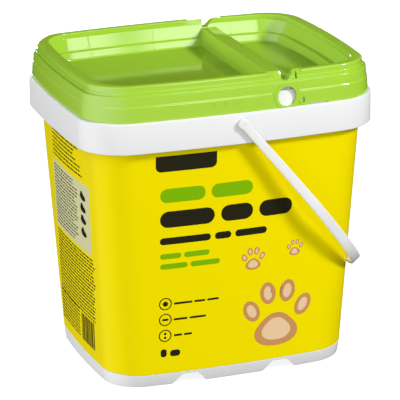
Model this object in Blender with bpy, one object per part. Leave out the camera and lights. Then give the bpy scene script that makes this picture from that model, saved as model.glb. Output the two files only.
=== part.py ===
"""Rectangular pail of granules with a press-on lid, a strap handle and a wrap label.

Units are metres and +Z is up. The origin is on the ground under the middle of the pail.
X runs along the long side, Y along the short side, and the front is at -Y.
"""
import math

import bmesh
import bpy
import numpy as np
from mathutils import Vector

# Gaps between pieces that touch on the real pail
CLEARANCE = 0.0003

# Outline of the collar band, at the middle of its sides
COLLAR_LENGTH = 0.2550
COLLAR_DEPTH = 0.2042
COLLAR_CORNER = 0.0342
COLLAR_BOW_END = 0.0042
COLLAR_BOW_SIDE = 0.0062
COLLAR_HEIGHT = 0.0252
COLLAR_THICKNESS = 0.0018
COLLAR_EDGE = 0.0010
STANDOFF_END = 0.0086
STANDOFF_SIDE = 0.0051

# Wall of the pail, from its foot up to the collar's lower edge
WALL_THICKNESS = 0.0016
COLLAR_LEVEL = 0.2064
WALL_TAPER = 0.0123
WALL_CORNER_TOP = 0.0268
WALL_CORNER_BOTTOM = 0.0294
WALL_BOW_END_TOP = 0.0070
WALL_BOW_END = 0.0040
WALL_BOW_SIDE = 0.0059

# Foot ring under the floor
FOOT_HEIGHT = 0.0114
FOOT_TUCK_END = 0.0008
FOOT_TUCK_SIDE = 0.0036
FOOT_CORNER = 0.0271
FOOT_THICKNESS = 0.0020
FLOOR_THICKNESS = 0.0022
FLOOR_FILLET = 0.0060
NOTCH_SPACING = 0.0790
NOTCH_WIDTH = 0.0290
NOTCH_TOP_WIDTH = 0.0130
NOTCH_HEIGHT = 0.0092

# Neck and rim inside the lid
NECK_THICKNESS = 0.0016
RIM_PLAY = 0.0006
RIM_BEAD = 0.0022
RIM_BEAD_HEIGHT = 0.0040
RIM_EDGE = 0.0008
RIB_POSITION = 0.0420
RIB_WIDTH = 0.0012
RIB_REACH = 0.0010

# Wrap label, in a shallow step of the wall
LABEL_THICKNESS = 0.0004
LABEL_OVERLAP = 0.0030

# Granules
FILL_LEVEL = 0.1990

# Skirt and shoulder of the lid
LID_THICKNESS = 0.0015
SKIRT_HEIGHT = 0.0210
SKIRT_SETBACK = 0.0018
SKIRT_DRAFT = 0.0012
LID_BOW_END = 0.0053
TEAR_LINE = 0.0120
TEAR_STEP = 0.0006
SHOULDER_EDGE = 0.0009
SNAP_BEAD = 0.0014
SNAP_BEAD_HEIGHT = 0.0012

# Stacking ring of the lid
RING_HEIGHT = 0.0074
RING_SETBACK = 0.0040
RING_CORNER = 0.0258
RING_WIDTH_END = 0.0084
RING_WIDTH_SIDE = 0.0048
RING_EDGE = 0.0007

# Recesses of the lid, on either side of the hinge band
RECESS_DRAFT = 0.0028
LEDGE_DEPTH = 0.0151
LEDGE_WIDTH = 0.0038
RECESS_DEPTH = 0.0225
RECESS_FILLET = 0.0016
HINGE_FROM = 0.0362
HINGE_WIDTH = 0.0128
HINGE_SLOPE = 0.0024

# Break in the stacking ring at the hinge
GAP_FROM = 0.0366
GAP_WIDTH = 0.0046
GAP_TOP_WIDTH = 0.0106
GAP_SILL = 0.0004

# Finger hole of the tear strip, and the small tab and the raised edge beside it
HOLE_POSITION = 0.0394
HOLE_RISE = 0.0089
HOLE_RADIUS = 0.0081
HOLE_BOSS = 0.0024
BOSS_PROUD = 0.0008
TAB_OFFSET = 0.0142
TAB_DROP = 0.0044
TAB_RADIUS = 0.0039
TAB_SLOT_WIDTH = 0.0022
TAB_SLOT_HEIGHT = 0.0050
PRY_OFFSET = 0.0181
PRY_WIDTH = 0.0176
PRY_HEIGHT = 0.0014

# Strap handle
PIVOT_RISE = 0.0170
HANDLE_GAP = 0.0005
HANDLE_THICKNESS = 0.0026
HANDLE_OVERHANG = 0.0591
HANDLE_STRAIGHT = 0.0930
HANDLE_LEAN_RADIUS = 0.1370
HANDLE_LEAN = math.radians(10.5)
HANDLE_CORNER = 0.0531
HANDLE_BOW = 0.0013
HANDLE_EYE = 0.0043
HANDLE_NARROW = 0.0070
HANDLE_WIDE = 0.0092
HANDLE_EDGE = 0.0006
HANDLE_REST_GAP = 0.0008
PIN_RADIUS = 0.0034
PIN_CLEARANCE = 0.0004
PIN_HEAD = 0.0009
PIN_HEAD_LENGTH = 0.0010

# Share of a fillet's radius that its middle lies from the corner it fills
FILLET_MIDDLE = 1.0 - math.sqrt(0.5)

# Fineness of the outlines
CORNER_STEPS = 6
SIDE_STEPS = 6
WALL_STEPS = 4
ROUND_STEPS = 28
LEAN_STEPS = 3
BEND_STEPS = 9
EYE_STEPS = 6
EYE_START = -84.0
ARM_STEPS = 6
SMOOTH_ANGLE = math.radians(35)

# Levels that follow from the sizes above
COLLAR_TOP = COLLAR_LEVEL + COLLAR_HEIGHT
SKIRT_LEVEL = COLLAR_TOP + CLEARANCE
DECK_LEVEL = SKIRT_LEVEL + SKIRT_HEIGHT
RING_LEVEL = DECK_LEVEL + RING_HEIGHT
LEDGE_LEVEL = RING_LEVEL - LEDGE_DEPTH
RECESS_LEVEL = RING_LEVEL - RECESS_DEPTH
RIM_LEVEL = DECK_LEVEL - LID_THICKNESS - CLEARANCE
BEAD_LEVEL = RIM_LEVEL - RIM_BEAD_HEIGHT
LABEL_LEVEL = FOOT_HEIGHT + CLEARANCE
LABEL_TOP = COLLAR_LEVEL + LABEL_OVERLAP
FLOOR_LEVEL = FOOT_HEIGHT + FLOOR_THICKNESS
PIVOT_LEVEL = COLLAR_LEVEL + PIVOT_RISE


class Plan:
    """A rectangle seen from above, with rounded corners and sides that bow outwards."""

    def __init__(self, half_x, half_y, corner, bow_end, bow_side):
        self.half_x = half_x
        self.half_y = half_y
        self.corner = corner
        self.bow_end = bow_end
        self.bow_side = bow_side

    def inset(self, end, side=None, corner=None):
        """Return a plan whose ends and sides lie further in. A negative inset lies further out."""
        side = end if side is None else side
        tighter = self.corner - max(end, side) if corner is None else corner
        return Plan(self.half_x - end, self.half_y - side, max(tighter, 0.002), self.bow_end, self.bow_side)

    def towards(self, other, share):
        """Return the plan that lies a share of the way to another."""
        def mix(mine, theirs):
            return mine + (theirs - mine) * share
        return Plan(mix(self.half_x, other.half_x), mix(self.half_y, other.half_y),
                    mix(self.corner, other.corner), mix(self.bow_end, other.bow_end),
                    mix(self.bow_side, other.bow_side))

    def side_at(self, x):
        """Return how far the long side lies from the middle at a place along it."""
        return self.half_y - self.bow_side * (x / self.half_x) ** 2

    def loop(self, level):
        """Return the closed outline as points at one level, anticlockwise from above."""
        rounds = np.linspace(0.0, math.pi / 2.0, CORNER_STEPS + 1)
        straights = np.linspace(0.0, 1.0, SIDE_STEPS + 1)[1:-1]
        flat_x = self.half_x - self.corner
        flat_y = self.half_y - self.corner
        centres = [(flat_x, flat_y), (-flat_x, flat_y), (-flat_x, -flat_y), (flat_x, -flat_y)]
        runs = []
        for turn, (centre_x, centre_y) in enumerate(centres):
            angles = rounds + turn * math.pi / 2.0
            arc = np.column_stack((centre_x + self.corner * np.cos(angles),
                                   centre_y + self.corner * np.sin(angles)))
            next_x, next_y = centres[(turn + 1) % 4]
            start = arc[-1]
            end = (next_x + self.corner * math.cos(angles[-1]), next_y + self.corner * math.sin(angles[-1]))
            side = start + np.outer(straights, np.subtract(end, start))
            runs.extend((arc, side))
        points = np.concatenate(runs)
        x, y = points[:, 0], points[:, 1]
        bowed_x = x - self.bow_end * (y / self.half_y) ** 2 * x / self.half_x
        bowed_y = y - self.bow_side * (x / self.half_x) ** 2 * y / self.half_y
        return np.column_stack((bowed_x, bowed_y, np.full(len(x), level)))


COLLAR = Plan(COLLAR_LENGTH / 2, COLLAR_DEPTH / 2, COLLAR_CORNER, COLLAR_BOW_END, COLLAR_BOW_SIDE)
LABEL_HIGH = Plan(COLLAR.half_x - STANDOFF_END, COLLAR.half_y - STANDOFF_SIDE,
                  WALL_CORNER_TOP, WALL_BOW_END_TOP, COLLAR_BOW_SIDE)
LABEL_LOW = Plan(LABEL_HIGH.half_x - WALL_TAPER, LABEL_HIGH.half_y - WALL_TAPER,
                 WALL_CORNER_BOTTOM, WALL_BOW_END, WALL_BOW_SIDE)
FOOT = LABEL_LOW.inset(FOOT_TUCK_END, FOOT_TUCK_SIDE, corner=FOOT_CORNER)
LABEL_STEP = LABEL_THICKNESS + CLEARANCE
SKIRT = Plan(COLLAR.half_x - SKIRT_SETBACK, COLLAR.half_y - SKIRT_SETBACK,
             COLLAR_CORNER - SKIRT_SETBACK, LID_BOW_END, COLLAR_BOW_SIDE)
SHOULDER = SKIRT.inset(SKIRT_DRAFT)
SKIRT_INSIDE = SHOULDER.inset(LID_THICKNESS + TEAR_STEP)
BEAD = SKIRT_INSIDE.inset(RIM_PLAY)
NECK = BEAD.inset(BEAD.half_x - LABEL_HIGH.half_x + LABEL_STEP, RIM_BEAD, corner=BEAD.corner - RIM_BEAD)
RING = SHOULDER.inset(RING_SETBACK, corner=RING_CORNER)
RECESS = RING.inset(RING_WIDTH_END + RING_EDGE, RING_WIDTH_SIDE + RING_EDGE,
                    corner=RING_CORNER - RING_WIDTH_SIDE)


def wall_plan(level, inset=0.0):
    """Return the plan of the label's outer face at a level, further in by an inset."""
    share = (level - FOOT_HEIGHT) / (COLLAR_LEVEL - FOOT_HEIGHT)
    return LABEL_LOW.towards(LABEL_HIGH, share).inset(inset)


def wall_loops(start, end, inset=0.0):
    """Return the loops of the wall between two levels, in that order."""
    return [wall_plan(level, inset).loop(level) for level in np.linspace(start, end, WALL_STEPS + 1)]


def recess_plan(level, inset=0.0):
    """Return the plan of the lid's recess at a level between its ledge and the ring's top."""
    share = (RING_LEVEL - level) / LEDGE_DEPTH
    return RECESS.inset(RECESS_DRAFT * share + inset)


def link_object(name, mesh, collection):
    """Make an object from a mesh in a collection."""
    item = bpy.data.objects.new(name, mesh)
    collection.objects.link(item)
    return item


def mesh_from(name, bm):
    """Turn a bmesh into a mesh whose faces all point out."""
    bm.normal_update()
    bmesh.ops.recalc_face_normals(bm, faces=bm.faces)
    mesh = bpy.data.meshes.new(name)
    bm.to_mesh(mesh)
    bm.free()
    return mesh


def loft(name, loops, collection, closed=False):
    """Join loops of equal point count into one body.

    An open row of loops gets a flat face at either end. A closed row comes back to its first loop.
    """
    bm = bmesh.new()
    rows = [[bm.verts.new(point) for point in loop] for loop in loops]
    pairs = list(zip(rows, rows[1:]))
    if closed:
        pairs.append((rows[-1], rows[0]))
    else:
        bm.faces.new(rows[0])
        bm.faces.new(rows[-1])
    count = len(rows[0])
    for lower, upper in pairs:
        for index in range(count):
            following = (index + 1) % count
            bm.faces.new((lower[index], lower[following], upper[following], upper[index]))
    return link_object(name, mesh_from(name, bm), collection)


def prism(name, outline, half_length, collection):
    """Make a prism along Y from an outline of (x, z) points."""
    bm = bmesh.new()
    face = bm.faces.new([bm.verts.new((x, -half_length, z)) for x, z in outline])
    grown = bmesh.ops.extrude_face_region(bm, geom=[face])["geom"]
    moved = [item for item in grown if isinstance(item, bmesh.types.BMVert)]
    bmesh.ops.translate(bm, verts=moved, vec=(0.0, 2.0 * half_length, 0.0))
    return link_object(name, mesh_from(name, bm), collection)


def box(name, low, high, collection):
    """Make a box between its lowest and its highest corner."""
    bm = bmesh.new()
    bmesh.ops.create_cube(bm, size=1.0)
    low, high = Vector(low), Vector(high)
    bmesh.ops.scale(bm, vec=high - low, verts=bm.verts)
    bmesh.ops.translate(bm, vec=(low + high) / 2, verts=bm.verts)
    return link_object(name, mesh_from(name, bm), collection)


def rod(name, radius, start, end, collection, x=0.0, z=0.0, stretch=1.0):
    """Make a round rod along Y between two depths, stretched in Z where it is oval."""
    bm = bmesh.new()
    bmesh.ops.create_cone(bm, cap_ends=True, segments=ROUND_STEPS, radius1=radius, radius2=radius,
                          depth=abs(end - start))
    for vertex in bm.verts:
        along, across, up = vertex.co.z, vertex.co.x, vertex.co.y * stretch
        vertex.co = (x + across, (start + end) / 2 + along, z + up)
    return link_object(name, mesh_from(name, bm), collection)


def combine(target, tool, operation):
    """Join, cut or trim a target with another body by a live Boolean."""
    modifier = target.modifiers.new(name=tool.name, type="BOOLEAN")
    modifier.operation = operation
    modifier.solver = "EXACT"
    modifier.object = tool
    tool.hide_render = True
    tool.display_type = "WIRE"


def dress(item, name, color, roughness):
    """Give an object its own plain material."""
    material = bpy.data.materials.new(name)
    material.use_nodes = True
    shader = material.node_tree.nodes["Principled BSDF"]
    shader.inputs["Base Color"].default_value = (*color, 1.0)
    shader.inputs["Roughness"].default_value = roughness
    shader.inputs["Metallic"].default_value = 0.0
    item.data.materials.append(material)
    item.data.shade_smooth()
    item.data.set_sharp_from_angle(angle=SMOOTH_ANGLE)


def pail_loops():
    """Return the pail's section as loops, from under its floor, round its rim and down to its floor."""
    foot_inner = FOOT.inset(FOOT_THICKNESS)
    under_floor = FOOT_HEIGHT
    wall = WALL_THICKNESS + LABEL_STEP
    collar_inner = COLLAR.inset(COLLAR_THICKNESS)
    web_under = COLLAR_TOP - COLLAR_THICKNESS
    neck_inner = NECK.inset(NECK_THICKNESS)
    fillet = FLOOR_FILLET
    return [
        foot_inner.loop(under_floor),
        foot_inner.loop(0.0),
        FOOT.loop(0.0),
        LABEL_LOW.loop(FOOT_HEIGHT),
        *wall_loops(FOOT_HEIGHT, COLLAR_LEVEL, LABEL_STEP),
        NECK.loop(web_under),
        collar_inner.loop(web_under),
        collar_inner.loop(COLLAR_LEVEL),
        COLLAR.loop(COLLAR_LEVEL),
        COLLAR.loop(COLLAR_TOP - COLLAR_EDGE),
        COLLAR.inset(COLLAR_EDGE).loop(COLLAR_TOP),
        NECK.loop(COLLAR_TOP),
        NECK.loop(BEAD_LEVEL),
        BEAD.loop(BEAD_LEVEL),
        BEAD.loop(RIM_LEVEL - RIM_EDGE),
        BEAD.inset(RIM_EDGE).loop(RIM_LEVEL),
        neck_inner.loop(RIM_LEVEL),
        neck_inner.loop(web_under),
        *wall_loops(COLLAR_LEVEL, FLOOR_LEVEL + fillet, wall),
        wall_plan(FLOOR_LEVEL, wall + fillet * FILLET_MIDDLE).loop(FLOOR_LEVEL + fillet * FILLET_MIDDLE),
        wall_plan(FLOOR_LEVEL, wall + fillet).loop(FLOOR_LEVEL),
    ]


def build_pail(parts, cutters):
    """Build the tub with its collar, foot notches, pivot holes and neck ribs."""
    pail = loft("pail", pail_loops(), parts)
    for side in (-1, 1):
        centre = side * NOTCH_SPACING / 2
        outline = [(centre - NOTCH_WIDTH / 2, -CLEARANCE), (centre + NOTCH_WIDTH / 2, -CLEARANCE),
                   (centre + NOTCH_TOP_WIDTH / 2, NOTCH_HEIGHT), (centre - NOTCH_TOP_WIDTH / 2, NOTCH_HEIGHT)]
        combine(pail, prism(f"foot_notch_{side}", outline, COLLAR_DEPTH, cutters), "DIFFERENCE")
        face = side * COLLAR_DEPTH / 2
        through = side * (COLLAR_DEPTH / 2 - COLLAR_THICKNESS)
        margin = side * COLLAR_THICKNESS / 2
        hole = rod(f"pivot_hole_{side}", PIN_RADIUS + PIN_CLEARANCE, through - margin, face + margin,
                   cutters, z=PIVOT_LEVEL)
        combine(pail, hole, "DIFFERENCE")
        root = side * (NECK.side_at(RIB_POSITION) - NECK_THICKNESS / 2)
        tip = side * (NECK.side_at(RIB_POSITION) + RIB_REACH)
        for place in (-1, 1):
            left = place * RIB_POSITION - RIB_WIDTH / 2
            low = (left, min(root, tip), COLLAR_TOP - COLLAR_THICKNESS / 2)
            high = (left + RIB_WIDTH, max(root, tip), BEAD_LEVEL + RIM_BEAD_HEIGHT / 4)
            combine(pail, box(f"neck_rib_{side}_{place}", low, high, cutters), "UNION")
    dress(pail, "white_moulding", (0.83, 0.84, 0.84), 0.38)
    return pail


def lid_loops():
    """Return the lid's section as loops, from under its recess floor, over its ring and down again."""
    wall = LID_THICKNESS
    tear = SKIRT_LEVEL + TEAR_LINE
    drafted = SKIRT.towards(SHOULDER, TEAR_LINE / SKIRT_HEIGHT)
    inner_top = DECK_LEVEL - wall
    snap_top = BEAD_LEVEL - CLEARANCE
    snap_low = snap_top - SNAP_BEAD_HEIGHT
    skirt_inner = SKIRT.inset(wall)
    snap = SKIRT_INSIDE.inset(SNAP_BEAD)
    ring_inner_top = RING_LEVEL - wall
    ledge_in = recess_plan(LEDGE_LEVEL, LEDGE_WIDTH)
    lower = recess_plan(LEDGE_LEVEL, LEDGE_WIDTH + RECESS_FILLET / 2)
    floor = lower.inset(RECESS_FILLET)
    return [
        floor.loop(RECESS_LEVEL - wall),
        lower.inset(-wall).loop(RECESS_LEVEL - wall + RECESS_FILLET),
        ledge_in.inset(-wall).loop(LEDGE_LEVEL - wall),
        recess_plan(LEDGE_LEVEL, -wall).loop(LEDGE_LEVEL - wall),
        recess_plan(RING_LEVEL - wall, -wall).loop(ring_inner_top),
        RING.inset(wall).loop(ring_inner_top),
        RING.inset(wall).loop(inner_top),
        SKIRT_INSIDE.loop(inner_top),
        SKIRT_INSIDE.loop(snap_top),
        snap.loop(snap_top),
        snap.loop(snap_low),
        SKIRT_INSIDE.loop(snap_low - SNAP_BEAD),
        skirt_inner.loop(SKIRT_LEVEL),
        SKIRT.loop(SKIRT_LEVEL),
        drafted.loop(tear),
        drafted.inset(TEAR_STEP).loop(tear),
        SHOULDER.inset(TEAR_STEP).loop(DECK_LEVEL - SHOULDER_EDGE),
        SHOULDER.inset(TEAR_STEP + SHOULDER_EDGE).loop(DECK_LEVEL),
        RING.inset(-RING_EDGE).loop(DECK_LEVEL),
        RING.loop(DECK_LEVEL + RING_EDGE),
        RING.loop(RING_LEVEL - RING_EDGE),
        RING.inset(RING_EDGE).loop(RING_LEVEL),
        recess_plan(RING_LEVEL).loop(RING_LEVEL),
        recess_plan(LEDGE_LEVEL).loop(LEDGE_LEVEL),
        ledge_in.loop(LEDGE_LEVEL),
        lower.loop(RECESS_LEVEL + RECESS_FILLET),
        floor.loop(RECESS_LEVEL),
    ]


def recess_body(name, inset, bottom, top, cutters):
    """Make a plain body that fills the lid's recess between two levels, with its walls moved in."""
    ledge_in = recess_plan(LEDGE_LEVEL, LEDGE_WIDTH + inset)
    loops = [
        ledge_in.loop(bottom),
        ledge_in.loop(LEDGE_LEVEL - inset),
        recess_plan(LEDGE_LEVEL, inset).loop(LEDGE_LEVEL - inset),
        recess_plan(top, inset).loop(top),
    ]
    return loft(name, loops, cutters)


def add_hinge_band(lid, cutters):
    """Raise the hollow hinge band that parts the recess in two, open from below."""
    wall = LID_THICKNESS
    slope = HINGE_SLOPE / (DECK_LEVEL - RECESS_LEVEL)
    left, right = HINGE_FROM, HINGE_FROM + HINGE_WIDTH

    def band_outline(inset, bottom, top):
        spread_low = slope * (DECK_LEVEL - bottom) - inset
        spread_high = slope * (DECK_LEVEL - top) - inset
        return [(left - spread_low, bottom), (right + spread_low, bottom),
                (right + spread_high, top), (left - spread_high, top)]

    reach = COLLAR_DEPTH / 2
    block = prism("hinge_band", band_outline(0.0, RECESS_LEVEL - wall / 2, DECK_LEVEL), reach, cutters)
    filler = recess_body("hinge_band_ends", -wall / 2, RECESS_LEVEL - wall, DECK_LEVEL + wall, cutters)
    combine(block, filler, "INTERSECT")
    combine(lid, block, "UNION")
    hollow = prism("hinge_hollow", band_outline(wall, RECESS_LEVEL - 2 * wall, DECK_LEVEL - wall),
                   reach, cutters)
    core = recess_body("hinge_hollow_ends", wall / 2, RECESS_LEVEL - 3 * wall, DECK_LEVEL, cutters)
    combine(hollow, core, "INTERSECT")
    combine(lid, hollow, "DIFFERENCE")


def add_ring_gap(lid, cutters):
    """Break the stacking ring at the hinge, front and back, and close the ring's cut ends."""
    wall = LID_THICKNESS
    low, high = DECK_LEVEL - wall / 2, RING_LEVEL - wall / 2
    core = loft("ring_core", [
        RING.inset(wall / 2).loop(low),
        RING.inset(wall / 2).loop(high),
        recess_plan(high, -wall / 2).loop(high),
        recess_plan(low, -wall / 2).loop(low)], cutters, closed=True)
    outer_left, outer_right = GAP_FROM - wall, GAP_FROM + GAP_TOP_WIDTH + wall
    ends = prism("ring_ends", [(outer_left, low - wall), (outer_right, low - wall),
                               (outer_right, RING_LEVEL), (outer_left, RING_LEVEL)], COLLAR_DEPTH / 2, cutters)
    combine(ends, core, "INTERSECT")
    combine(lid, ends, "UNION")
    sill = DECK_LEVEL + GAP_SILL
    above = RING_LEVEL + wall
    flare = (GAP_TOP_WIDTH - GAP_WIDTH) / (RING_LEVEL - sill) * (above - sill)
    gap = prism("ring_gap", [(GAP_FROM, sill), (GAP_FROM + GAP_WIDTH, sill),
                             (GAP_FROM + GAP_WIDTH + flare, above), (GAP_FROM, above)], COLLAR_DEPTH, cutters)
    combine(lid, gap, "DIFFERENCE")


def add_finger_hole(lid, cutters):
    """Raise the bosses on the front skirt and cut the finger hole, the tab's slot and the pry notch."""
    centre_z = SKIRT_LEVEL + HOLE_RISE
    tab_x, tab_z = HOLE_POSITION + TAB_OFFSET, centre_z - TAB_DROP
    mid_wall = SHOULDER.half_y - LID_THICKNESS / 2 - SHOULDER.bow_side / 4
    outside = -COLLAR_DEPTH / 2 - BOSS_PROUD
    shell = loft("boss_limit", [SKIRT.inset(-BOSS_PROUD).loop(SKIRT_LEVEL + CLEARANCE),
                                SHOULDER.inset(-BOSS_PROUD).loop(DECK_LEVEL - SHOULDER_EDGE)], cutters)
    bosses = (("hole_boss", HOLE_RADIUS + HOLE_BOSS, HOLE_POSITION, centre_z),
              ("tab_boss", TAB_RADIUS, tab_x, tab_z))
    for name, radius, x, z in bosses:
        boss = rod(name, radius, outside, -mid_wall, cutters, x=x, z=z)
        combine(boss, shell, "INTERSECT")
        combine(lid, boss, "UNION")
    inside = -(SHOULDER.half_y - LID_THICKNESS - SHOULDER.bow_side / 2 - SNAP_BEAD)
    hole = rod("finger_hole", HOLE_RADIUS, outside, inside, cutters, x=HOLE_POSITION, z=centre_z)
    combine(lid, hole, "DIFFERENCE")
    slot = rod("tab_slot", TAB_SLOT_WIDTH / 2, outside, inside, cutters, x=tab_x, z=tab_z,
               stretch=TAB_SLOT_HEIGHT / TAB_SLOT_WIDTH)
    combine(lid, slot, "DIFFERENCE")
    low = (HOLE_POSITION + PRY_OFFSET, outside, SKIRT_LEVEL - CLEARANCE)
    high = (low[0] + PRY_WIDTH, -(SKIRT.half_y - LID_THICKNESS - SKIRT.bow_side), SKIRT_LEVEL + PRY_HEIGHT)
    combine(lid, box("pry_notch", low, high, cutters), "DIFFERENCE")


def build_lid(parts, cutters):
    """Build the press-on lid with its ring, recesses, hinge band and tear strip."""
    lid = loft("lid", lid_loops(), parts)
    add_hinge_band(lid, cutters)
    add_ring_gap(lid, cutters)
    add_finger_hole(lid, cutters)
    dress(lid, "green_moulding", (0.38, 0.69, 0.05), 0.33)
    return lid


def build_label(parts):
    """Build the film that wraps the wall, from the foot to just behind the collar."""
    loops = [
        *wall_loops(LABEL_LEVEL, LABEL_TOP),
        *wall_loops(LABEL_TOP, LABEL_LEVEL, LABEL_THICKNESS),
    ]
    label = loft("wall_label", loops, parts, closed=True)
    dress(label, "yellow_film", (0.81, 0.67, 0.0), 0.35)
    return label


def build_litter(parts):
    """Build the granules as one closed fill with a small gap to the pail's inside."""
    gap = WALL_THICKNESS + LABEL_STEP + CLEARANCE
    base = FLOOR_LEVEL + CLEARANCE
    rise = FLOOR_FILLET * FILLET_MIDDLE
    loops = [
        wall_plan(base, gap + FLOOR_FILLET).loop(base),
        wall_plan(base, gap + rise).loop(base + rise),
        *wall_loops(base + FLOOR_FILLET, FILL_LEVEL, gap),
    ]
    litter = loft("litter", loops, parts)
    dress(litter, "grey_granules", (0.52, 0.49, 0.44), 0.95)
    return litter


def handle_reach():
    """Return how far the strap's outer face lies from the pivots."""
    return COLLAR_LENGTH / 2 + HANDLE_OVERHANG


def rest_angle():
    """Return how far below level the strap hangs when its cross bar lies by the pail's end wall."""
    inner = handle_reach() - HANDLE_THICKNESS
    half_width = HANDLE_WIDE / 2
    low, high = 0.0, math.pi / 2
    for _ in range(40):
        angle = (low + high) / 2
        x = inner * math.cos(angle) - half_width * math.sin(angle)
        z = PIVOT_LEVEL - inner * math.sin(angle) - half_width * math.cos(angle)
        if x > wall_plan(z).half_x + HANDLE_REST_GAP:
            low = angle
        else:
            high = angle
    return low


def strap_path():
    """Return stations of the strap's middle line in its own flat plane.

    Each station is (along, across, heading), from the front pivot's eye to the back one's. An arm
    runs straight, leans inwards on a wide arc, and bends into the cross bar.
    """
    across = COLLAR_DEPTH / 2 + HANDLE_GAP + HANDLE_THICKNESS / 2
    corner = HANDLE_CORNER - HANDLE_THICKNESS / 2
    bend = handle_reach() - HANDLE_THICKNESS / 2 - corner
    eye = HANDLE_EYE * np.sin(np.radians(np.linspace(EYE_START, 0.0, EYE_STEPS)))
    arm = np.linspace(HANDLE_NARROW / 2, HANDLE_STRAIGHT, ARM_STEPS)
    half = [(along, -across, 0.0) for along in (*eye, *arm)]
    for angle in np.linspace(0.0, HANDLE_LEAN, LEAN_STEPS + 1)[1:]:
        half.append((HANDLE_STRAIGHT + HANDLE_LEAN_RADIUS * math.sin(angle),
                     -across + HANDLE_LEAN_RADIUS * (1 - math.cos(angle)), angle))
    run = bend + corner * math.sin(HANDLE_LEAN) - half[-1][0]
    start = half[-1][1] + run * math.tan(HANDLE_LEAN)
    for angle in np.linspace(HANDLE_LEAN, math.pi / 2, BEND_STEPS + 1):
        half.append((bend + corner * math.sin(angle),
                     start + corner * (math.cos(HANDLE_LEAN) - math.cos(angle)), angle))
    mirrored = [(along, -side, math.pi - heading) for along, side, heading in reversed(half)]
    return half + mirrored


def strap_half_width(along):
    """Return half the strap's width, which is round at the eye and widens towards the cross bar."""
    share = max(along, 0.0) / handle_reach()
    strap = (HANDLE_NARROW + (HANDLE_WIDE - HANDLE_NARROW) * share) / 2
    round_eye = math.sqrt(max(HANDLE_EYE ** 2 - along ** 2, 0.0))
    return round_eye if along < 0.0 else max(round_eye, strap)


def strap_bow(along):
    """Return how far the arms bow out of the flat plane between the eyes and the cross bar."""
    share = max(along, 0.0) / handle_reach()
    return 4 * HANDLE_BOW * share * (1 - share)


def build_handle(parts, cutters):
    """Build the strap and its two pins, with its origin on the pivots' axis."""
    half_thick = HANDLE_THICKNESS / 2
    loops = []
    for along, across, heading in strap_path():
        half_width = strap_half_width(along)
        bow = strap_bow(along)
        edge = min(HANDLE_EDGE, half_width / 2)
        outward = (math.sin(heading), -math.cos(heading))
        section = [(-half_thick, -half_width + edge), (-half_thick + edge, -half_width),
                   (half_thick - edge, -half_width), (half_thick, -half_width + edge),
                   (half_thick, half_width - edge), (half_thick - edge, half_width),
                   (-half_thick + edge, half_width), (-half_thick, half_width - edge)]
        loops.append([(along + out * outward[0], across + out * outward[1], up + bow) for out, up in section])
    handle = loft("handle", loops, parts)
    band_outer = COLLAR_DEPTH / 2
    band_inner = band_outer - COLLAR_THICKNESS
    for side in (-1, 1):
        root = side * (band_outer + HANDLE_GAP + half_thick)
        head_from = side * (band_inner - CLEARANCE)
        head_to = side * (band_inner - CLEARANCE - PIN_HEAD_LENGTH)
        pin = rod(f"pin_{side}", PIN_RADIUS, root, head_to, cutters)
        head = rod(f"pin_head_{side}", PIN_RADIUS + PIN_HEAD, head_from, head_to, cutters)
        combine(handle, pin, "UNION")
        combine(handle, head, "UNION")
    handle.location = (0.0, 0.0, PIVOT_LEVEL)
    handle.rotation_euler = (0.0, rest_angle(), 0.0)
    for tool in cutters.objects:
        if tool.name.startswith("pin_"):
            tool.parent = handle
    dress(handle, "white_strap", (0.86, 0.86, 0.85), 0.40)
    return handle


def make_collection(name):
    """Make a collection in the scene."""
    collection = bpy.data.collections.new(name)
    bpy.context.scene.collection.children.link(collection)
    return collection


def main():
    """Clear the scene and build every piece."""
    for item in list(bpy.data.objects):
        bpy.data.objects.remove(item, do_unlink=True)
    parts = make_collection("litter_pail")
    cutters = make_collection("litter_pail_cutters")
    build_pail(parts, cutters)
    build_lid(parts, cutters)
    build_label(parts)
    build_litter(parts)
    build_handle(parts, cutters)


main()
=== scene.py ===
"""Looks of a rectangular pail of granules: its tub, press-on lid, strap handle and wrap label.

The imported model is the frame. Each class works out the fine surface of one piece with numpy, from
the sizes of the real piece, and lets it ride on the body that carries it. Sizes are millimetres
until a mesh is made of them, and the studio's are metres. +Z is up, X runs along the long side and
the front is at -Y.
"""

import logging
import math
from dataclasses import astuple, dataclass, replace
from enum import Enum

import bmesh
import bpy
import numpy as np
from mathutils import Matrix, Vector


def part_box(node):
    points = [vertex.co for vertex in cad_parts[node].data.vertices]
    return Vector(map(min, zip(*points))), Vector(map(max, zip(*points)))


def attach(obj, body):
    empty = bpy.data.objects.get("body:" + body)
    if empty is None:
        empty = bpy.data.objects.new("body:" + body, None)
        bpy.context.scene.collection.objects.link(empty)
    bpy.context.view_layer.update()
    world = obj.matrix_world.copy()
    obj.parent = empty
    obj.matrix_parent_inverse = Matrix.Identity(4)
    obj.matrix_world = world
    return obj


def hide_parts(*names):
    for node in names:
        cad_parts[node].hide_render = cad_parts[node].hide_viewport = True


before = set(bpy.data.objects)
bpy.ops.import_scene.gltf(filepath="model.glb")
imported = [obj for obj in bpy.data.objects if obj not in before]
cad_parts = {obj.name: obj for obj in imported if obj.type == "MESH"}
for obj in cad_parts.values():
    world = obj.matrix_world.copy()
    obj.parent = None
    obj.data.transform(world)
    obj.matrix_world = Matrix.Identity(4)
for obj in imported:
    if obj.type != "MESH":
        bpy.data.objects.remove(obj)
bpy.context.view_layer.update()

LOG = logging.getLogger("pail")
# Name of the point attribute that marks where the lid's recess floor gets painted shade
SHADE_MARK = "painted_shade_mark"
MM = 0.001
# A length too short to divide by, and how far a cutting body reaches past the face that it cuts
TINY = 1e-6
PAST = 1.0
# The signs of an outline's corners, anticlockwise
CORNERS = np.array([(1, 1), (-1, 1), (-1, -1), (1, -1)], dtype=float)

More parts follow.
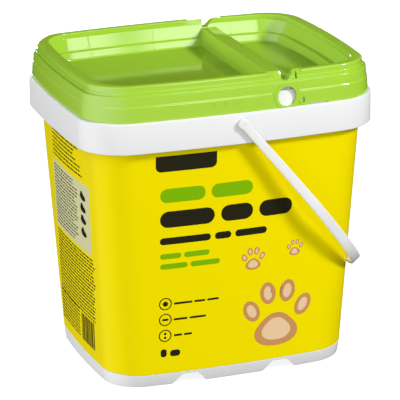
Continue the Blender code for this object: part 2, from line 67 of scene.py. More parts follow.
Color = tuple[float, float, float]
Place = tuple[float, float, float]
Flat = tuple[float, float]
Inputs = dict[str | int, float | tuple[float, ...] | Vector | bpy.types.NodeSocket]


class Side(Enum):
    """The two long sides of the pail, by the sign of their Y."""

    FRONT = -1
    BACK = 1


class Action(Enum):
    """What a tool body does to the body that it is applied to."""

    JOIN = "UNION"
    CUT = "DIFFERENCE"
    TRIM = "INTERSECT"


# Outlines from above

# The smallest radius of an outline's corner, and the most of an edge that a rounded corner takes
TIGHTEST = 2.0
MOST_OF_EDGE = 0.48


@dataclass(frozen=True)
class Plan:
    """A rectangle from above with rounded corners and sides that bow outwards."""

    half_x: float
    half_y: float
    corner: float
    bow_end: float
    bow_side: float

    def inset(self, end: float, side: float | None = None, corner: float | None = None) -> "Plan":
        """Return a plan whose ends and sides lie further in, or further out if negative."""
        side = end if side is None else side
        tighter = self.corner - max(end, side) if corner is None else corner
        return replace(self, half_x=self.half_x - end, half_y=self.half_y - side,
                       corner=max(tighter, TIGHTEST))

    def towards(self, other: "Plan", share: float) -> "Plan":
        """Return the plan that lies a share of the way to another."""
        mine, theirs = np.array(astuple(self)), np.array(astuple(other))
        return Plan(*(mine + (theirs - mine) * share))

    def side_at(self, x: np.ndarray | float) -> np.ndarray | float:
        """Return how far the long side lies from the middle at a place along it."""
        return self.half_y - self.bow_side * (x / self.half_x) ** 2


@dataclass(frozen=True)
class Station:
    """One corner of a section: a plan at a level, and the radius that rounds the corner."""

    plan: Plan
    level: float
    radius: float = 0.0


class Outline:
    """The shared pattern of points that every outline from above is made of."""

    corner_steps = 18
    side_steps = 30

    def __init__(self) -> None:
        """Work out the pattern's factors, for each corner and the side that follows it."""
        quarter = np.linspace(0.0, np.pi / 2, self.corner_steps + 1)
        turn = np.radians(90.0 * np.arange(4))[:, None] + quarter
        share = np.linspace(0.0, 1.0, self.side_steps + 1)[1:-1]
        sides = np.roll(CORNERS, -1, axis=0) - CORNERS
        along = CORNERS[:, None, :] + sides[:, None, :] * share[None, :, None]
        flats = np.concatenate((np.repeat(CORNERS[:, None, :], len(quarter), axis=1), along), axis=1)
        ends = np.repeat(turn[:, -1:], len(share), axis=1)
        angles = np.concatenate((turn, ends), axis=1).ravel()
        self.flat = flats.reshape(-1, 2)
        self.round = np.column_stack((np.cos(angles), np.sin(angles)))
        self.back_middle = self.corner_steps + self.side_steps // 2

    def points(self, stations: list[Station]) -> np.ndarray:
        """Carry the outline through a section, whose corners are rounded first.

        A point is the corner's centre plus the corner's radius towards the point. Then each side
        bows: it is drawn in by its bow times the square of the place along it.

        Args:
            stations: The section's corners in order.

        Returns:
            Points by loop and place round the outline.
        """
        rows = soften(stations)[:, None, :]
        half, corner, bow, level = rows[..., 0:2], rows[..., 2:3], rows[..., 3:5], rows[..., 5:6]
        plain = (half - corner) * self.flat + corner * self.round
        share = plain / half
        bowed = plain - bow * share * share[..., ::-1] ** 2
        return np.concatenate((bowed, np.broadcast_to(level, bowed.shape[:2] + (1,))), axis=2)


def soften(stations: list[Station], steps: int = 5) -> np.ndarray:
    """Round the corners of a section.

    A corner B between A and C becomes the quarter arc of points
    B + r (1 - sin t) a + r (1 - cos t) c, where a and c point from B to A and to C.

    Args:
        stations: The section's corners in order.
        steps: Steps round each rounded corner.

    Returns:
        Rows of half_x, half_y, corner, bow_end, bow_side and level.
    """
    rows = np.array([(*astuple(station.plan), station.level) for station in stations])
    radii = np.array([station.radius for station in stations])
    to_last = np.roll(rows, 1, axis=0) - rows
    to_next = np.roll(rows, -1, axis=0) - rows

    def length(vectors: np.ndarray) -> np.ndarray:
        """Return each vector's length, from its mean inset and its rise."""
        across = (vectors[:, 0] + vectors[:, 1]) / 2.0
        return np.maximum(np.hypot(across, vectors[:, 5]), TINY)

    back, ahead = length(to_last), length(to_next)
    reach = np.minimum(radii, MOST_OF_EDGE * np.minimum(back, ahead))
    turn = np.linspace(0.0, np.pi / 2, steps + 1)[None, :, None]
    towards_last = (to_last * (reach / back)[:, None])[:, None, :]
    towards_next = (to_next * (reach / ahead)[:, None])[:, None, :]
    arcs = rows[:, None, :] + (1.0 - np.sin(turn)) * towards_last + (1.0 - np.cos(turn)) * towards_next
    keep = np.repeat((radii > 0.0)[:, None], steps + 1, axis=1)
    keep[:, 0] = True
    return arcs[keep]


# Meshes from grids of points


def xyz(x: np.ndarray, y: np.ndarray, z: np.ndarray | float | tuple[float, ...]) -> np.ndarray:
    """Join arrays of X, Y and Z into points, each repeated until they have one shape."""
    return np.stack(np.broadcast_arrays(x, y, z), axis=-1)


def grid_faces(rows: int, columns: int, wrap_rows: bool = False, wrap_columns: bool = False) -> np.ndarray:
    """Number the four-sided faces of a grid of points.

    Args:
        rows: Rows of points.
        columns: Points in each row.
        wrap_rows: Whether the last row joins the first.
        wrap_columns: Whether each row's last point joins its first.

    Returns:
        Four point numbers for each face.
    """
    row = np.arange(rows if wrap_rows else rows - 1)
    column = np.arange(columns if wrap_columns else columns - 1)
    row, column = np.meshgrid(row, column, indexing="ij")
    row_next, column_next = (row + 1) % rows, (column + 1) % columns
    corners = (row * columns + column, row * columns + column_next,
               row_next * columns + column_next, row_next * columns + column)
    return np.stack(corners, axis=-1).reshape(-1, 4)


def link_body(mesh: bpy.types.Mesh, body: bmesh.types.BMesh) -> bpy.types.Object:
    """Turn a closed body's faces outwards, write it to its mesh and link that as an object."""
    body.normal_update()
    bmesh.ops.recalc_face_normals(body, faces=body.faces)
    body.to_mesh(mesh)
    body.free()
    item = bpy.data.objects.new(mesh.name, mesh)
    bpy.context.scene.collection.objects.link(item)
    return item


def make_object(name: str, points: np.ndarray, faces: list[list[int]]) -> bpy.types.Object:
    """Make an object from points and faces.

    Args:
        name: The object's name.
        points: Points in the pail's frame, in millimetres.
        faces: Point numbers of each face.

    Returns:
        The new object, linked to the scene.
    """
    mesh = bpy.data.meshes.new(name)
    mesh.from_pydata((points.reshape(-1, 3) * MM).tolist(), [], faces)
    body = bmesh.new()
    body.from_mesh(mesh)
    return link_body(mesh, body)


def loft(name: str, points: np.ndarray, closed: bool = False) -> bpy.types.Object:
    """Make a body from loops of points.

    Args:
        name: The object's name.
        points: Points by loop and place round the loop.
        closed: Whether the last loop joins the first. If not, a flat face closes either end.

    Returns:
        The new object.
    """
    rows, columns = points.shape[:2]
    faces = grid_faces(rows, columns, wrap_rows=closed, wrap_columns=True).tolist()
    if not closed:
        faces.append(list(range(columns)))
        faces.append(list(range((rows - 1) * columns, rows * columns)))
    return make_object(name, points, faces)


def hull(name: str, corners: np.ndarray | list[Place]) -> bpy.types.Object:
    """Make the convex body that spans a few corners."""
    body = bmesh.new()
    for corner in np.asarray(corners) * MM:
        body.verts.new(corner)
    bmesh.ops.convex_hull(body, input=body.verts)
    return link_body(bpy.data.meshes.new(name), body)


def prism(name: str, outline: np.ndarray | list[Flat], start: float, end: float) -> bpy.types.Object:
    """Make a prism along Y.

    Args:
        name: The object's name.
        outline: The (x, z) points of its section.
        start: The Y of its one end.
        end: The Y of its other end.

    Returns:
        The new object.
    """
    x, z = np.asarray(outline).T
    return loft(name, xyz(x, np.array([[start], [end]]), z))


def prism_pair(name: str, outline: np.ndarray | list[Flat], start: float,
               end: float) -> list[bpy.types.Object]:
    """Make a prism at the back, between two places of Y, and its mirror image at the front."""
    return [prism(f"{name}_{side.name}", outline, side.value * start, side.value * end) for side in Side]


def circle(centre: Flat, radius: float, stretch: float = 1.0, steps: int = 56) -> np.ndarray:
    """Return the (x, z) points of a circle, stretched in Z where it is oval."""
    angle = np.linspace(0.0, 2.0 * np.pi, steps, endpoint=False)
    return np.array(centre) + radius * np.column_stack((np.cos(angle), stretch * np.sin(angle)))


def apply_tools(target: bpy.types.Object, tools: list[bpy.types.Object], action: Action) -> None:
    """Join tools to a body, cut them from it or trim it by them, and remove the tools."""
    for tool in tools:
        modifier = target.modifiers.new(tool.name, "BOOLEAN")
        modifier.operation = action.value
        modifier.solver = "MANIFOLD"
        modifier.object = tool
    bpy.context.view_layer.update()
    graph = bpy.context.evaluated_depsgraph_get()
    mesh = bpy.data.meshes.new_from_object(target.evaluated_get(graph))
    target.modifiers.clear()
    target.data = mesh
    for tool in tools:
        bpy.data.objects.remove(tool, do_unlink=True)


def smooth(item: bpy.types.Object, angle: float = 32.0) -> None:
    """Shade a piece smooth, apart from edges sharper than an angle in degrees."""
    item.data.shade_smooth()
    item.data.set_sharp_from_angle(angle=math.radians(angle))


# Finishes

# Scales are features in a metre, and depths are metres
DRIFT_SCALE = 9.0
GLOSS_SPREAD = 0.12
GRAIN_SCALE = 700.0
GRAIN_DEPTH = 0.4 * MM
CELL_SCALE = 420.0
CELL_DEPTH = 1.2 * MM


class Nodes:
    """The nodes of a material or of the world, which are fed constants or other nodes' outputs."""

    def __init__(self, owner: bpy.types.Material | bpy.types.World, last: str) -> None:
        """Give the owner its nodes, of which the last is the shader of that name."""
        owner.use_nodes = True
        self.tree = owner.node_tree
        self.last = self.tree.nodes[last]

    def feed(self, node: bpy.types.Node, inputs: Inputs) -> None:
        """Set a node's inputs, by name or number, to constants or link them to outputs."""
        for key, value in inputs.items():
            if isinstance(value, bpy.types.NodeSocket):
                self.tree.links.new(value, node.inputs[key])
            else:
                node.inputs[key].default_value = value

    def add(self, kind: str, output: str, inputs: Inputs | None = None,
            **settings: str | bool) -> bpy.types.NodeSocket:
        """Add a node.

        Args:
            kind: Its type, after the words that all types start with.
            output: The name of the output that is wanted.
            inputs: What feeds it.
            **settings: Its settings.

        Returns:
            The output of that name.
        """
        node = self.tree.nodes.new(f"ShaderNode{kind}")
        for name, value in settings.items():
            setattr(node, name, value)
        self.feed(node, inputs or {})
        return node.outputs[output]

    def mix(self, share: bpy.types.NodeSocket, first: bpy.types.NodeSocket | tuple[float, ...],
            second: tuple[float, ...]) -> bpy.types.NodeSocket:
        """Mix two colours by a share of the second."""
        return self.add("Mix", "Result", {"Factor": share, "A": first, "B": second}, data_type="RGBA")


@dataclass(frozen=True)
class Plastic:
    """A moulded or printed plastic whose colour and gloss vary a little over its surface.

    Where shade_paint is given, it is a darker colour painted as shade wherever a point attribute marks it:
    painted shade on the lid's upward-facing recess floor.
    """

    name: str
    color: Color
    roughness: float
    grain: float = 0.03
    drift: float = 0.03
    shine: float = 0.5
    tint: Color = (1.0, 1.0, 1.0)
    shade_paint: Color | None = None

    def material(self) -> bpy.types.Material:
        """Build the material.

        Returns:
            A Principled material with a slow drift of colour, patchy gloss and a fine grain.
        """
        material = bpy.data.materials.new(self.name)
        nodes = Nodes(material, "Principled BSDF")
        nodes.feed(nodes.last, {"Roughness": self.roughness, "Specular IOR Level": self.shine,
                                "Specular Tint": (*self.tint, 1.0)})
        place = nodes.add("TexCoord", "Object")
        slow = nodes.add("TexNoise", "Fac", {"Vector": place, "Scale": DRIFT_SCALE, "Detail": 3.0})
        color = nodes.mix(slow, self.shade(1.0 - self.drift), self.shade(1.0 + self.drift))
        # Painted shade: where the point attribute is set, the colour turns to the darker shade colour
        if self.shade_paint is not None:
            shade_share = nodes.add("Attribute", "Fac", attribute_name=SHADE_MARK)
            color = nodes.mix(shade_share, color, (*self.shade_paint, 1.0))
        low, high = self.roughness * (1.0 - GLOSS_SPREAD), self.roughness * (1.0 + GLOSS_SPREAD)
        gloss = nodes.add("MapRange", "Result", {"Value": slow, "To Min": low, "To Max": high})
        fine = nodes.add("TexNoise", "Fac", {"Vector": place, "Scale": GRAIN_SCALE, "Detail": 2.0})
        bump = nodes.add("Bump", "Normal", {"Height": fine, "Strength": self.grain, "Distance": GRAIN_DEPTH})
        nodes.feed(nodes.last, {"Base Color": color, "Roughness": gloss, "Normal": bump})
        return material

    def shade(self, factor: float) -> tuple[float, ...]:
        """Return the colour, lighter or darker by a factor."""
        return (*(min(part * factor, 1.0) for part in self.color), 1.0)


@dataclass(frozen=True)
class Grains:
    """Dull clay granules."""

    name: str
    light: Color
    dark: Color

    def material(self) -> bpy.types.Material:
        """Build the material: cells a few millimetres wide, each with its own grey, and bumps between."""
        material = bpy.data.materials.new(self.name)
        nodes = Nodes(material, "Principled BSDF")
        place = nodes.add("TexCoord", "Object")
        cells = nodes.add("TexVoronoi", "Color", {"Vector": place, "Scale": CELL_SCALE})
        share = nodes.add("SeparateColor", "Red", {"Color": cells})
        color = nodes.mix(share, (*self.dark, 1.0), (*self.light, 1.0))
        bump = nodes.add("Bump", "Normal", {"Height": cells.node.outputs["Distance"], "Strength": 0.6,
                                            "Distance": CELL_DEPTH}, invert=True)
        nodes.feed(nodes.last, {"Base Color": color, "Roughness": 0.95, "Normal": bump})
        return material


WHITE_MOULDING = Plastic("white_moulding", (0.80, 0.805, 0.805), 0.36, grain=0.02, drift=0.01)
WHITE_STRAP = Plastic("white_strap", (0.80, 0.80, 0.795), 0.40, grain=0.03, drift=0.01)
# The green's second, darker colour is painted shade for the recess floor
GREEN_MOULDING = Plastic("green_moulding", (0.370, 0.625, 0.045), 0.10, grain=0.012, drift=0.02, shine=0.8,
                         shade_paint=(0.275, 0.465, 0.030))
YELLOW_FILM = Plastic("yellow_film", (0.860, 0.716, 0.000), 0.34, grain=0.02, drift=0.01, shine=0.2,
                      tint=(1.0, 0.85, 0.0))
BLACK_INK = Plastic("black_ink", (0.016, 0.015, 0.005), 0.36, grain=0.02, drift=0.05, shine=0.15)
GREEN_INK = Plastic("green_ink", (0.200, 0.450, 0.002), 0.36, grain=0.02, drift=0.03, tint=(0.6, 1.0, 0.05))
CREAM_INK = Plastic("cream_ink", (0.650, 0.640, 0.350), 0.38, grain=0.02, drift=0.03, shine=0.3)
GINGER_INK = Plastic("ginger_ink", (0.560, 0.270, 0.090), 0.36, grain=0.02, drift=0.10, shine=0.3)
PALE_INK = Plastic("pale_ink", (0.780, 0.560, 0.330), 0.36, grain=0.02, drift=0.06, shine=0.3)
FLOOR_PAPER = Plastic("floor_paper", (0.450, 0.450, 0.450), 0.80, grain=0.0, drift=0.0, shine=0.1)
CLAY_GRAINS = Grains("clay_grains", (0.62, 0.59, 0.54), (0.30, 0.28, 0.25))


def dress(item: bpy.types.Object, finish: Plastic | Grains) -> None:
    """Give a piece one finish all over."""
    item.data.materials.clear()
    item.data.materials.append(finish.material())


def settle(item: bpy.types.Object, finish: Plastic, body: str) -> None:
    """Dress a finished piece, let it ride on a body and report it."""
    dress(item, finish)
    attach(item, body)
    item.data.update()
    LOG.info("%s: %d faces on %s", item.name, len(item.data.polygons), body)


# Shared shape of the pail


def levels_of(node: str) -> tuple[float, float]:
    """Return the lowest and the highest level of one of the frame's solids."""
    low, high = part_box(node)
    return low[2] / MM, high[2] / MM


class Shape:
    """The outlines and levels that the pail's pieces share."""

    def __init__(self) -> None:
        """Work the shared outlines and levels out from the real pail's sizes."""
        self.clearance = 0.3
        self.lid_wall = 1.5
        self.tear_step = 0.6
        self.collar = Plan(127.5, 102.1, 34.2, 4.2, 6.2)
        self.film_high = replace(self.collar.inset(8.6, 5.1, 26.8), bow_end=7.0)
        self.film_low = replace(self.film_high.inset(12.3, corner=29.4), bow_end=4.0, bow_side=5.9)
        self.foot = self.film_low.inset(0.8, 3.6, 27.1)
        self.skirt = replace(self.collar.inset(1.8), bow_end=5.3)
        self.shoulder = self.skirt.inset(1.2)
        self.skirt_inside = self.shoulder.inset(self.lid_wall + self.tear_step)
        self.bead = self.skirt_inside.inset(0.6)
        self.neck = self.bead.inset(self.bead.half_x - self.film_high.half_x + 0.7, 2.2,
                                    self.bead.corner - 2.2)
        self.ring = self.shoulder.inset(4.0, corner=25.8)
        self.recess = self.ring.inset(9.1, 5.5, 21.0)
        self.foot_top = 11.4
        self.floor = 13.6
        self.collar_low = 206.4
        self.film_start = 11.7
        self.film_end = 209.4
        self.pivot = 223.4
        self.skirt_low, self.ring_high = levels_of("lid")
        self.collar_high = self.skirt_low - 0.05
        self.rim = levels_of("pail")[1]
        self.bead_low = self.rim - 4.0
        self.deck = self.ring_high - 7.4
        self.ledge = self.ring_high - 15.1
        self.recess_floor = self.ring_high - 22.5
        self.recess_draft = 2.8

    def wall_plan(self, level: float, inset: float = 0.0) -> Plan:
        """Return the plan of the film's outer face at a level, further in by an inset."""
        share = (level - self.foot_top) / (self.collar_low - self.foot_top)
        return self.film_low.towards(self.film_high, share).inset(inset)

    def recess_plan(self, level: float, inset: float = 0.0) -> Plan:
        """Return the plan of the lid's recess at a level above its ledge."""
        share = (self.ring_high - level) / (self.ring_high - self.ledge)
        return self.recess.inset(self.recess_draft * share + inset)

    def wall_stations(self, start: float, end: float, inset: float, count: int = 5) -> list[Station]:
        """Return stations of the straight wall between two levels."""
        return [Station(self.wall_plan(level, inset), level) for level in np.linspace(start, end, count)]


class Piece:
    """A piece that is made of outlines from above."""

    def __init__(self, shape: Shape, outline: Outline) -> None:
        """Keep the shared shape and the outline pattern."""
        self.shape = shape
        self.outline = outline

    def carry(self, name: str, stations: list[Station], closed: bool = False) -> bpy.types.Object:
        """Make a body by carrying the outline through a section."""
        return loft(name, self.outline.points(stations), closed)


# Tub


class Tub(Piece):
    """The white tub: foot ring, wall, collar band and the neck inside the lid."""

    wall = 1.6
    collar_wall = 1.8
    film_step = 0.7
    fillet = 6.0
    notch_spacing = 79.0
    notch_widths = (29.0, 13.0)
    notch_height = 9.2
    hole_radius = 3.8
    rib_places = (-42.0, 42.0)
    # How far ribs and pads reach down into the collar band
    sunk = 0.9
    backing_slope = 1.8 / 12.3
    # Left, right and top of each pad, and how far it lies behind the tear strip
    backing_places = (
        (30.5, 44.6, 245.2, 0.25),
        (44.4, 49.0, 245.2, 0.8),
        (50.5, 77.0, 239.6, 0.25),
    )

    def section(self) -> list[Station]:
        """Return the section from under the floor, round the rim and down to the floor inside."""
        shape = self.shape
        foot_inner = shape.foot.inset(2.0)
        inside = self.wall + self.film_step
        collar_inner = shape.collar.inset(self.collar_wall)
        web = shape.collar_high - self.collar_wall
        neck_inner = shape.neck.inset(self.wall)
        floor = shape.floor
        return [
            # Foot ring
            Station(foot_inner.inset(9.0), shape.foot_top),
            Station(foot_inner, shape.foot_top, 1.0),
            Station(foot_inner, 0.0, 0.5),
            Station(shape.foot, 0.0, 0.9),
            Station(shape.film_low, shape.foot_top - 0.2, 0.25),
            # Wall and collar band
            *shape.wall_stations(shape.foot_top, shape.collar_low, self.film_step),
            Station(shape.neck, web, 0.8),
            Station(collar_inner, web, 0.8),
            Station(collar_inner, shape.collar_low, 0.5),
            Station(shape.collar, shape.collar_low, 0.8),
            Station(shape.collar, shape.collar_high, 1.1),
            # Neck, bead and rim
            Station(shape.neck, shape.collar_high, 0.6),
            Station(shape.neck, shape.bead_low, 0.4),
            Station(shape.bead, shape.bead_low, 0.5),
            Station(shape.bead, shape.rim, 0.9),
            Station(neck_inner, shape.rim, 0.6),
            Station(neck_inner, web, 0.8),
            # Inside
            *shape.wall_stations(shape.collar_low, floor + self.fillet, inside),
            Station(shape.wall_plan(floor, inside), floor, 5.8),
            Station(shape.wall_plan(floor, inside + 3.0 * self.fillet), floor),
        ]

    def notches(self) -> list[bpy.types.Object]:
        """Return the bodies that cut the foot ring's notches, front and back."""
        low, top = (width / 2 for width in self.notch_widths)
        reach = self.shape.collar.half_y
        tools = []
        for x in (-self.notch_spacing / 2, self.notch_spacing / 2):
            section = [(x - low - PAST, -PAST), (x + low + PAST, -PAST),
                       (x + top, self.notch_height), (x - top, self.notch_height)]
            tools.append(prism(f"notch_{x:g}", section, -reach, reach))
        return tools

    def ribs(self) -> list[bpy.types.Object]:
        """Return the small upright ribs on the neck, front and back."""
        shape = self.shape
        low, high = shape.collar_high - self.sunk, shape.rim - 3.0
        tools = []
        for x in self.rib_places:
            face = shape.neck.side_at(x)
            section = [(x - 0.6, low), (x + 0.6, low), (x + 0.5, high), (x - 0.5, high)]
            tools += prism_pair(f"rib_{x:g}", section, face - self.wall / 2, face + 1.0)
        return tools

    def backings(self) -> list[bpy.types.Object]:
        """Return the pads on the front of the neck, close behind the holes of the tear strip."""
        shape = self.shape
        tools = []
        for left, right, high, depth in self.backing_places:
            corners = []
            for level, inset in ((shape.collar_high - self.sunk, 0.0),
                                 (high, self.backing_slope * (high - shape.skirt_low))):
                for x in (left, right):
                    face = shape.skirt.inset(shape.lid_wall + depth + inset).side_at(x)
                    corners += [(x, -face, level), (x, -shape.neck.side_at(x) + self.wall / 2, level)]
            tools.append(hull(f"backing_{left:g}", corners))
        return tools

    def pivot_holes(self) -> list[bpy.types.Object]:
        """Return the bodies that cut the two holes for the handle's pins."""
        face = self.shape.collar.half_y
        ring = circle((0.0, self.shape.pivot), self.hole_radius)
        return prism_pair("hole", ring, face - 2.6, face + PAST)

    def build(self) -> None:
        """Build the tub and let it stand for its solid."""
        tub = self.carry("tub", self.section())
        apply_tools(tub, self.notches() + self.pivot_holes(), Action.CUT)
        apply_tools(tub, self.ribs() + self.backings(), Action.JOIN)
        smooth(tub)
        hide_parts("pail")
        settle(tub, WHITE_MOULDING, "pail")


# Lid


class Lid(Piece):
    """The green lid: skirt with its tear strip, stacking ring, and a recess that a band parts."""

    tear_rise = 12.0
    hinge_from = 36.2
    hinge_width = 12.8
    hinge_slope = 2.4
    hinge_round = 0.9
    ledge_width = 3.8
    floor_draft = 1.7
    brink_drop = 4.4
    brink_step = 0.3
    gap_from = 36.6
    gap_width = 4.6
    gap_top_width = 10.6
    # Places on the tear strip are X and the rise above its lower edge, and the tab's is from the hole
    hole = (39.4, 8.9)
    hole_radius = 8.1
    boss_radius = 11.0
    boss_proud = 0.35
    flare_proud = 0.1
    strip_inside = -92.9
    tab = (14.2, -4.4)
    tab_radius = 3.9
    slot_radius = 1.35
    slot_stretch = 1.85
    # The notch's left, right and height
    pry = (57.5, 75.1, 1.4)
    rib_places = (-66.0, -8.0, 62.0)
    # How far each corner of a wall rib's section lies across it, and into the wall
    rib_section = ((-0.9, 0.4), (0.9, 0.4), (-0.45, -0.2), (0.45, -0.2))
    chevrons = (-23.3, -13.1, -3.0)
    chevron_rise = 7.6
    chevron = ((-1.2, 2.6), (-0.3, 2.6), (1.5, 0.0), (-0.3, -2.6), (-1.2, -2.6), (0.6, 0.0))
    core_ends = (19.0, 60.0)
    # Corners in X, Y and Z of what is cut at the back
    facets = {
        "left": ((24.0, 89.4, 260.5), (36.9, 89.4, 260.5), (24.0, 95.2, 257.1), (36.9, 95.2, 257.1),
                 (24.0, 99.0, 254.8), (36.9, 99.0, 254.8), (24.0, 89.4, 263.0), (36.9, 89.4, 263.0),
                 (24.0, 99.0, 263.0), (36.9, 99.0, 263.0)),
        "end": ((27.1, 95.2, 257.2), (33.9, 90.4, 259.6), (36.9, 93.4, 253.9), (36.9, 90.0, 259.6),
                (27.1, 99.0, 257.2), (36.9, 99.0, 253.9), (36.9, 99.0, 262.0), (27.1, 99.0, 262.0)),
        "right": ((40.0, 89.4, 260.5), (53.6, 89.4, 260.5), (40.0, 95.2, 257.4), (55.4, 95.2, 260.1),
                  (50.0, 95.2, 257.4), (40.0, 99.0, 255.2), (50.0, 99.0, 255.2), (56.4, 99.0, 260.1),
                  (40.0, 89.4, 263.0), (53.6, 89.4, 263.0), (40.0, 99.0, 263.0), (56.4, 99.0, 263.0)),
    }
    slot = ((47.9, 253.3), (49.6, 253.3), (49.6, 261.5), (47.9, 261.5))
    slot_depths = (91.6, 99.0)

    def section(self) -> list[Station]:
        """Return the section from under the recess floor, over the ring and down to the floor."""
        shape = self.shape
        wall = shape.lid_wall
        tear = shape.skirt_low + self.tear_rise
        drafted = shape.skirt.towards(shape.shoulder, self.tear_rise / (shape.deck - shape.skirt_low))
        under = shape.deck - wall
        snap_high = shape.bead_low - shape.clearance
        snap = shape.skirt_inside.inset(1.4)
        ledge_in = shape.recess_plan(shape.ledge, self.ledge_width)
        lower = shape.recess_plan(shape.ledge, self.ledge_width + self.floor_draft)
        floor = shape.recess_floor
        brink = shape.ring_high - self.brink_drop
        valley = shape.deck - 0.35
        step = shape.deck + 2.2
        return [
            # Under the recess and the ring
            Station(lower.inset(12.0), floor - wall),
            Station(lower.inset(-wall / 2), floor - wall, 1.6),
            Station(ledge_in.inset(-wall), shape.ledge - wall, 0.5),
            Station(shape.recess_plan(shape.ledge, -wall), shape.ledge - wall, 0.5),
            Station(shape.recess_plan(shape.ring_high - wall, -wall), shape.ring_high - wall, 0.5),
            Station(shape.ring.inset(wall), shape.ring_high - wall, 0.5),
            Station(shape.ring.inset(wall), under, 0.5),
            # Inside of the skirt with its snap
            Station(shape.skirt_inside, under, 0.5),
            Station(shape.skirt_inside, snap_high),
            Station(snap, snap_high, 0.3),
            Station(snap, snap_high - 1.2, 0.3),
            Station(shape.skirt_inside, snap_high - 2.6),
            Station(shape.skirt.inset(wall), shape.skirt_low, 0.15),
            # Tear strip, shoulder and deck
            Station(shape.skirt, shape.skirt_low, 0.15),
            Station(drafted, tear, 0.5),
            Station(drafted.inset(shape.tear_step), tear + 0.9, 0.4),
            Station(shape.shoulder.inset(shape.tear_step), shape.deck, 1.3),
            Station(shape.shoulder.inset(shape.tear_step + 1.6), shape.deck, 0.5),
            Station(shape.shoulder.inset(shape.tear_step + 1.9), valley, 0.3),
            # Ring and recess
            Station(shape.ring.inset(-0.7), valley, 0.4),
            Station(shape.ring.inset(-0.7), step, 0.45),
            Station(shape.ring, step + 0.2, 0.25),
            Station(shape.ring, shape.ring_high, 1.6),
            Station(shape.recess_plan(shape.ring_high), shape.ring_high, 0.7),
            Station(shape.recess_plan(shape.ring_high), brink, 0.1),
            Station(shape.recess_plan(shape.ring_high, self.brink_step), brink, 0.25),
            Station(shape.recess_plan(shape.ledge), shape.ledge, 0.6),
            Station(ledge_in, shape.ledge, 0.6),
            Station(lower, floor, 2.2),
            Station(lower.inset(12.0), floor),
        ]

    def hinge_band(self) -> bpy.types.Object:
        """Return the band that parts the recess in two.

        Its section in X and Z has two sloping sides and a flat top with rounded edges. The section
        runs along Y as far as half the recess wall at its own height: y = v (side(x, z) + wall / 2)
        for v from -1 to 1.
        """
        shape = self.shape
        wall = shape.lid_wall
        slope = self.hinge_slope / (shape.deck - shape.recess_floor)
        left, right, round_off = self.hinge_from, self.hinge_from + self.hinge_width, self.hinge_round
        low = shape.recess_floor - wall / 2
        heights = np.array([low, shape.ledge - 0.05, shape.ledge + 0.05, shape.deck - round_off])
        turn = np.linspace(0.0, np.pi / 2, 6)[1:]
        up_z = np.concatenate((heights, shape.deck - round_off * (1.0 - np.sin(turn))))
        up_x = np.concatenate((left - slope * (shape.deck - heights),
                               left - slope * round_off + round_off * (1.0 - np.cos(turn))))
        x = np.concatenate((up_x, left + right - up_x[::-1]))
        z = np.concatenate((up_z, up_z[::-1]))
        above = z > shape.ledge
        plans = [shape.recess_plan(max(level, shape.ledge), 0.0 if high else self.ledge_width + 0.4)
                 for level, high in zip(z, above)]
        reach = np.array([plan.side_at(place) for plan, place in zip(plans, x)]) + wall / 2
        return loft("hinge_band", xyz(x, np.linspace(-1.0, 1.0, 25)[:, None] * reach, z))

    def ring_cores(self) -> list[bpy.types.Object]:
        """Return the bodies that fill the hollow ring beside its breaks.

        Each is a four-sided section from the ring's outer wall to the recess wall, carried along X
        between the two ends of the filled stretch.
        """
        shape = self.shape
        half = shape.lid_wall / 2
        low, high = shape.deck - half, shape.ring_high - half
        x = np.linspace(*self.core_ends, 16)
        outer = shape.ring.inset(half).side_at(x)
        inner_low, inner_high = (shape.recess_plan(level, -half).side_at(x) for level in (low, high))
        y = np.column_stack((inner_low, inner_high, outer, outer))
        z = (low, high, high, low)
        return [loft(f"ring_core_{side.name}", xyz(x[:, None], side.value * y, z)) for side in Side]

    def gap(self) -> bpy.types.Object:
        """Return the body that breaks the ring, upright on its left and slanting on its right."""
        shape = self.shape
        sill, above = shape.deck + 0.4, shape.ring_high + 1.5
        flare = (self.gap_top_width - self.gap_width) / (shape.ring_high - sill) * (above - sill)
        right = self.gap_from + self.gap_width
        outline = [(self.gap_from, sill), (right, sill), (right + flare, above), (self.gap_from, above)]
        return prism("gap", outline, -shape.collar.half_y, shape.collar.half_y)

    def gussets(self) -> list[bpy.types.Object]:
        """Return the bodies that cut the folded facets and the slot at the ring's broken ends.

        Those at the front are mirror images of those at the back.
        """
        cuts = [hull(f"facet_{name}_{side.name}", np.array(corners) * (1, side.value, 1))
                for side in Side for name, corners in self.facets.items()]
        return cuts + prism_pair("slot", self.slot, *self.slot_depths)

    def strip_places(self) -> tuple[Flat, Flat]:
        """Return the middles of the finger hole and of the tab's slot, as (x, z)."""
        x, z = self.hole[0], self.shape.skirt_low + self.hole[1]
        return (x, z), (x + self.tab[0], z + self.tab[1])

    def bosses(self) -> list[bpy.types.Object]:
        """Return the raised borders of the finger hole and the tab, flush with the tear strip."""
        shape = self.shape
        centre, tab = self.strip_places()
        tear = shape.skirt_low + self.tear_rise
        x, head = centre[0], centre[1] + 7.8
        flare = [(x - 7.8, head), (x - 13.3, tear + 0.1), (x - 10.0, tear - 1.0), (x, tear - 1.0), (x, head)]
        shapes = {
            "hole_boss": (circle(centre, self.boss_radius, steps=72), self.boss_proud),
            "hole_flare": (flare, self.flare_proud),
            "tab_boss": (circle(tab, self.tab_radius, steps=40), self.boss_proud),
        }
        middle = shape.shoulder.half_y - shape.lid_wall / 2 - shape.shoulder.bow_side / 4
        tools = []
        for name, (outline, proud) in shapes.items():
            boss = prism(name, outline, -shape.collar.half_y - PAST, -middle)
            limit = self.carry(f"{name}_limit", [
                Station(shape.skirt.inset(-proud), shape.skirt_low + 0.3),
                Station(shape.shoulder.inset(-proud), shape.deck - 0.9)])
            apply_tools(boss, [limit], Action.TRIM)
            tools.append(boss)
        return tools

